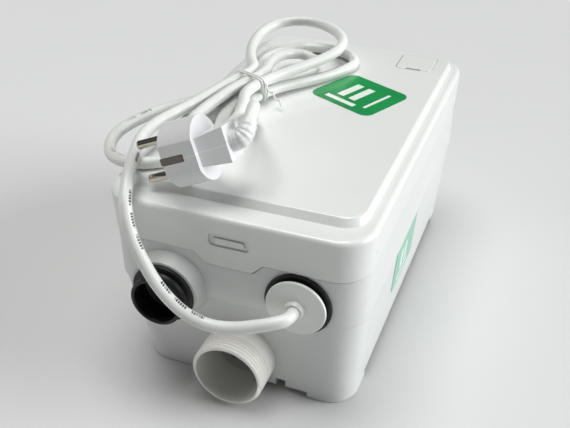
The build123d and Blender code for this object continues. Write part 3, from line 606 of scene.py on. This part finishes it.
def markAlong(mesh, path):
    # writes how far along and how far round the cord each point of the sheath lies
    run = [0.0]
    for a, b in zip(path, path[1:]):
        run.append(run[-1] + (b - a).length)
    tree = KDTree(len(path))
    for index, place in enumerate(path):
        tree.insert(place, index)
    tree.balance()
    sides = [Vector((0, 0, 1))]
    for index in range(1, len(path)):
        ahead = heading(path, index)
        sides.append((sides[-1] - ahead * sides[-1].dot(ahead)).normalized())
    along = mesh.attributes.new("along", "FLOAT", "POINT")
    around = mesh.attributes.new("around", "FLOAT", "POINT")
    for vertex in mesh.vertices:
        place, index = tree.find(vertex.co)[:2]
        ahead, side = heading(path, index), sides[index]
        out = vertex.co - place
        turn = Vector((out.dot(side), out.dot(ahead.cross(side)))).angle_signed(Vector((1, 0)), 0.0)
        along.data[vertex.index].value = run[index] + out.dot(ahead)
        around.data[vertex.index].value = turn / tau + 0.5
    return run[-1]


def makeCord(c):
    route = cordRoute()
    path = pathThrough("cordPath", route, c["resolution"])
    mesh = smoothLine("mainsCord", route, c["resolution"], c["radius"], c["ring"])
    measured = markAlong(mesh, path)
    piece = newPiece("mainsCord", mesh, "cordVinyl", smoothAngle=60)
    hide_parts("cord_lead", "cord_lid_run", "cord_hank")
    print("cord", round(measured, 3), "m along its line")
    return piece, path


mainsCord, cordPath = makeCord(cordFacts)


# Ribbed boot behind the plug

boot = {
    "wide": 0.0060, "narrow": 0.0043, "segments": 28, "resolution": 14,
    "rib": 0.00042, "ribs": 9, "ribShare": 0.5, "firstRib": 0.2, "lastRib": 0.97,
    "back": (-0.032, -0.035, -0.042),       # its first points, behind the plug's middle
}


def alongFrames(path):
    # a frame at each point of a line, Z ahead
    frames = []
    side = Vector((0, 1, 0))
    for index, place in enumerate(path):
        frames.append(standAt(place, side, heading(path, index)))
        side = frames[-1].col[0].to_3d()
    return frames


def makeBoot(b):
    plugFrame = standAt(spot(*plug["middle"]), Vector(plug["row"]), Vector(plug["ahead"]).normalized())
    route = [plugFrame @ Vector((0, 0, z)) for z in b["back"]] + [spot(*plug["cordEnd"])]
    frames = alongFrames(pathThrough("bootPath", route, b["resolution"]))
    bm = bmesh.new()
    rings = []
    for index, place in enumerate(frames):
        share = index / (len(frames) - 1)
        radius = b["wide"] + (b["narrow"] - b["wide"]) * share
        if (share * b["ribs"]) % 1 < b["ribShare"] and b["firstRib"] < share < b["lastRib"]:
            radius += b["rib"]
        made = bmesh.ops.create_circle(bm, segments=b["segments"], radius=radius, matrix=place)
        ringVerts = set(made["verts"])
        rings.append([edge for edge in bm.edges if ringVerts.issuperset(edge.verts)])
    for ring, following in zip(rings, rings[1:]):
        bmesh.ops.bridge_loops(bm, edges=ring + following)
    bmesh.ops.holes_fill(bm, edges=rings[0] + rings[-1])
    bmesh.ops.recalc_face_normals(bm, faces=bm.faces)
    piece = newPiece("plugBoot", meshFrom("plugBoot", bm), "plugPlastic", smoothAngle=40)
    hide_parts("plug_boot")
    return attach(piece, "lid_body")


plugBoot = makeBoot(boot)
print("boot made")


# Twist tie: two turns round the strands and a twisted tail

tie = {
    "wire": 0.0006, "ring": 3, "resolution": 6,
    "across": 0.0125, "up": 0.0082,         # half the size of the box that it wraps
    "turns": 2, "steps": 16, "squareness": 0.45, "drift": 0.0022,
    "tailSteps": 14, "tailTurn": 5, "tailStep": 0.0011, "tailHeight": 0.0040, "tailDrop": 0.0007,
    "twist": 0.0010,
}


def makeTie(t):
    ahead = Vector((*cordFacts["along"], 0)).normalized()
    across = Vector((ahead.y, -ahead.x, 0))
    up = Vector((0, 0, 1))
    centre = spot(cordFacts["tieX"], cordFacts["tieDepth"], cordFacts["lower"] + cordFacts["step"] / 2)
    points = []
    for index in range(t["turns"] * t["steps"] + 1):
        angle = tau * index / t["steps"]
        # a rounded box path round the strands
        c, s = cos(angle), sin(angle)
        wide = abs(c) ** t["squareness"] * (1 if c > 0 else -1)
        high = abs(s) ** t["squareness"] * (1 if s > 0 else -1)
        drift = (index / t["steps"] - t["turns"] / 2) * t["drift"]
        points.append(centre + across * wide * t["across"] + up * high * t["up"] + ahead * drift)
    for index in range(t["tailSteps"]):
        angle = tau * index / t["tailTurn"]
        reach = t["across"] + index * t["tailStep"]
        height = t["tailHeight"] - index * t["tailDrop"]
        twist = up * t["twist"] * sin(angle) + ahead * t["twist"] * cos(angle)
        points.append(centre + across * reach + up * height + twist)
    mesh = smoothLine("twistTie", points, t["resolution"], t["wire"], t["ring"])
    piece = newPiece("twistTie", mesh, "whitePlastic", smoothAngle=60)
    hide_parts("twist_tie")
    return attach(piece, "lid_body")


twistTie = makeTie(tie)
print("tie made")

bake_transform(mainsCord)


# Stickers: green printed film with plain white bars
# Each bar is its middle and half its size, across and up, as shares of the sticker

lidSticker = {
    "x": 23.2, "depth": 159.7, "above": 4.02, "turn": -25.8,        # spot's millimetres, and degrees
    "width": 0.051, "height": 0.0425, "corner": 0.0065, "film": 0.00022,
    "green": (0.006, 0.300, 0.072), "white": (0.80, 0.86, 0.80), "roughness": 0.30, "coat": 0.35,
    "bars": [(0.34, 0.52, 0.055, 0.24), (0.53, 0.52, 0.055, 0.24), (0.44, 0.15, 0.24, 0.045),
             (0.80, 0.50, 0.022, 0.30)],
}
sideSticker = {
    "depth": 0.108, "z": 0.043, "clear": 0.00005,
    "lean": 0.0041 / 0.057, "wallLow": 0.0695, "lowZ": 0.004,       # the tank's right wall, from its foot up
    "width": 0.051, "height": 0.033, "corner": 0.004, "film": 0.00022,
    "green": (0.230, 0.560, 0.400), "white": (0.74, 0.82, 0.78), "roughness": 0.34, "coat": 0.2,
    "bars": [(0.36, 0.50, 0.06, 0.22), (0.56, 0.50, 0.06, 0.22), (0.46, 0.14, 0.26, 0.04)],
}


def stickerInk(name, look):
    made = Finish(name, look["green"], look["roughness"], IOR=1.47)
    onFilm = made.node("ShaderNodeTexCoord", take="UV")
    u, v = (made.node("ShaderNodeSeparateXYZ", None, {0: onFilm}, take=axis) for axis in "XY")
    ink = None
    for x, y, halfLength, halfHeight in look["bars"]:
        bar = ((u - x).absolute() < halfLength) * ((v - y).absolute() < halfHeight)
        ink = bar if ink is None else ink + bar
    shade = made.patches(40.0, low=0.3, high=0.7, detail=3.0)
    scuffed = made.patches(75.0, low=0.5, high=0.75, detail=4.0)
    green = made.blendColours(look["green"], darker(look["green"], 0.86), shade)
    made.set("Base Color", made.blendColours(green, look["white"], ink))
    made.set("Roughness", look["roughness"] + scuffed * 0.12)
    made.set("Coat Weight", look["coat"])
    made.set("Normal", made.bump(made.noise(160.0), strength=0.12, distance=0.0002))
    return made.material


def makeSticker(name, s, place, body):
    finishes[name] = stickerInk(name, s)
    bm = bmesh.new()
    bmesh.ops.create_grid(bm, x_segments=1, y_segments=1, size=0.5,
                          matrix=Matrix.Diagonal((s["width"], s["height"], 1, 1)))
    bmesh.ops.bevel(bm, geom=bm.verts[:], offset=s["corner"], affect="VERTICES", segments=7, profile=0.5,
                    material=-1)
    lifted = bmesh.ops.extrude_face_region(bm, geom=bm.faces[:])
    top = [v for v in lifted["geom"] if isinstance(v, bmesh.types.BMVert)]
    bmesh.ops.translate(bm, verts=top, vec=(0, 0, s["film"]))
    bmesh.ops.recalc_face_normals(bm, faces=bm.faces)
    layer = bm.loops.layers.uv.new("print")
    for face in bm.faces:
        for loop in face.loops:
            loop[layer].uv = (loop.vert.co.x / s["width"] + 0.5, loop.vert.co.y / s["height"] + 0.5)
    bmesh.ops.transform(bm, matrix=place, verts=bm.verts)
    piece = newPiece(name, meshFrom(name, bm), name, smoothAngle=30)
    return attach(piece, body)


def placeOnLid(s):
    return (Matrix.Translation(spot(s["x"], s["depth"], s["above"]))
            @ Matrix.Rotation(radians(s["turn"]), 4, "Z"))


def placeOnSide(s):
    outward = Vector((1, 0, -s["lean"])).normalized()
    wallX = s["wallLow"] + (s["z"] - s["lowZ"]) * s["lean"]
    place = Vector((wallX, lidRim["front"] + s["depth"], s["z"])) + outward * s["clear"]
    return standAt(place, Vector((0, 1, 0)), outward)


makeSticker("lidSticker", lidSticker, placeOnLid(lidSticker), "lid_body")
makeSticker("sideSticker", sideSticker, placeOnSide(sideSticker), "tank_body")
print("stickers made")


# Floor, light and camera

floorFacts = {"half": 6.0, "below": 0.0002, "colour": (0.64, 0.64, 0.64), "roughness": 0.7, "smooth": 0.62,
              "smudge": 0.1}


def makeFloor(f):
    bm = bmesh.new()
    bmesh.ops.create_grid(bm, x_segments=2, y_segments=2, size=f["half"])
    floor = bpy.data.objects.new("floor", meshFrom("floor", bm))
    bpy.context.scene.collection.objects.link(floor)
    made = Finish("paleFloor", f["colour"], f["roughness"])
    made.set("Roughness", f["smooth"] + made.noise(14.0) * f["smudge"])
    floor.data.materials.append(made.material)
    floor.location.z = -f["below"]


def softLight(name, look):
    # an even, far light whose wide spread gives soft shadows
    lamp = bpy.data.lights.new(name, "SUN")
    lamp.energy = look["strength"]
    lamp.angle = radians(look["spread"])
    lamp.color = look["colour"]
    holder = bpy.data.objects.new(name, lamp)
    holder.location = look["from"]
    holder.rotation_euler = Vector(look["from"]).to_track_quat("Z", "Y").to_euler()
    bpy.context.scene.collection.objects.link(holder)


lights = {
    "overhead": {"from": (-0.12, 0.08, 1.05), "strength": 2.2, "spread": 38, "colour": (1, 1, 0.99)},
    "rightWindow": {"from": (1.15, 0.38, 0.42), "strength": 3.1, "spread": 40, "colour": (0.97, 0.99, 1)},
    "leftFill": {"from": (-1.1, -0.35, 0.29), "strength": 0.35, "spread": 30, "colour": (1, 0.99, 0.98)},
}
makeFloor(floorFacts)
for name, look in lights.items():
    softLight(name, look)


backdrop = {"colour": (0.93, 0.95, 0.97, 1), "ambient": 0.08, "seen": 0.78}


def makeWorld(b):
    # dim as a light, pale where it shows behind the floor
    world = bpy.data.worlds.new("studio")
    world.use_nodes = True
    tree = world.node_tree
    background = tree.nodes["Background"]
    background.inputs["Color"].default_value = b["colour"]
    shown = Wire(tree, tree.nodes.new("ShaderNodeLightPath").outputs["Is Camera Ray"])
    feed(tree, background.inputs["Strength"], shown * (b["seen"] - b["ambient"]) + b["ambient"])
    bpy.context.scene.world = world


makeWorld(backdrop)

view = {"place": (0.1538, -0.4276, 0.3491), "tilt": 56.66, "pan": 21.13, "roll": -0.13, "lens": 51.73,
        "sensor": 36.0}


def makeCamera(v):
    data = bpy.data.cameras.new("camera")
    data.lens = v["lens"]
    data.sensor_width = v["sensor"]
    camera = bpy.data.objects.new("camera", data)
    camera.location = v["place"]
    pan = Matrix.Rotation(radians(v["pan"]), 4, "Z")
    tilt = Matrix.Rotation(radians(v["tilt"]), 4, "X")
    roll = Matrix.Rotation(radians(v["roll"]), 4, "Z")
    camera.rotation_euler = (pan @ tilt @ roll).to_euler()
    bpy.context.scene.collection.objects.link(camera)
    bpy.context.scene.camera = camera


makeCamera(view)
bpy.context.scene.view_settings.view_transform = "Standard"
print("light and camera set")
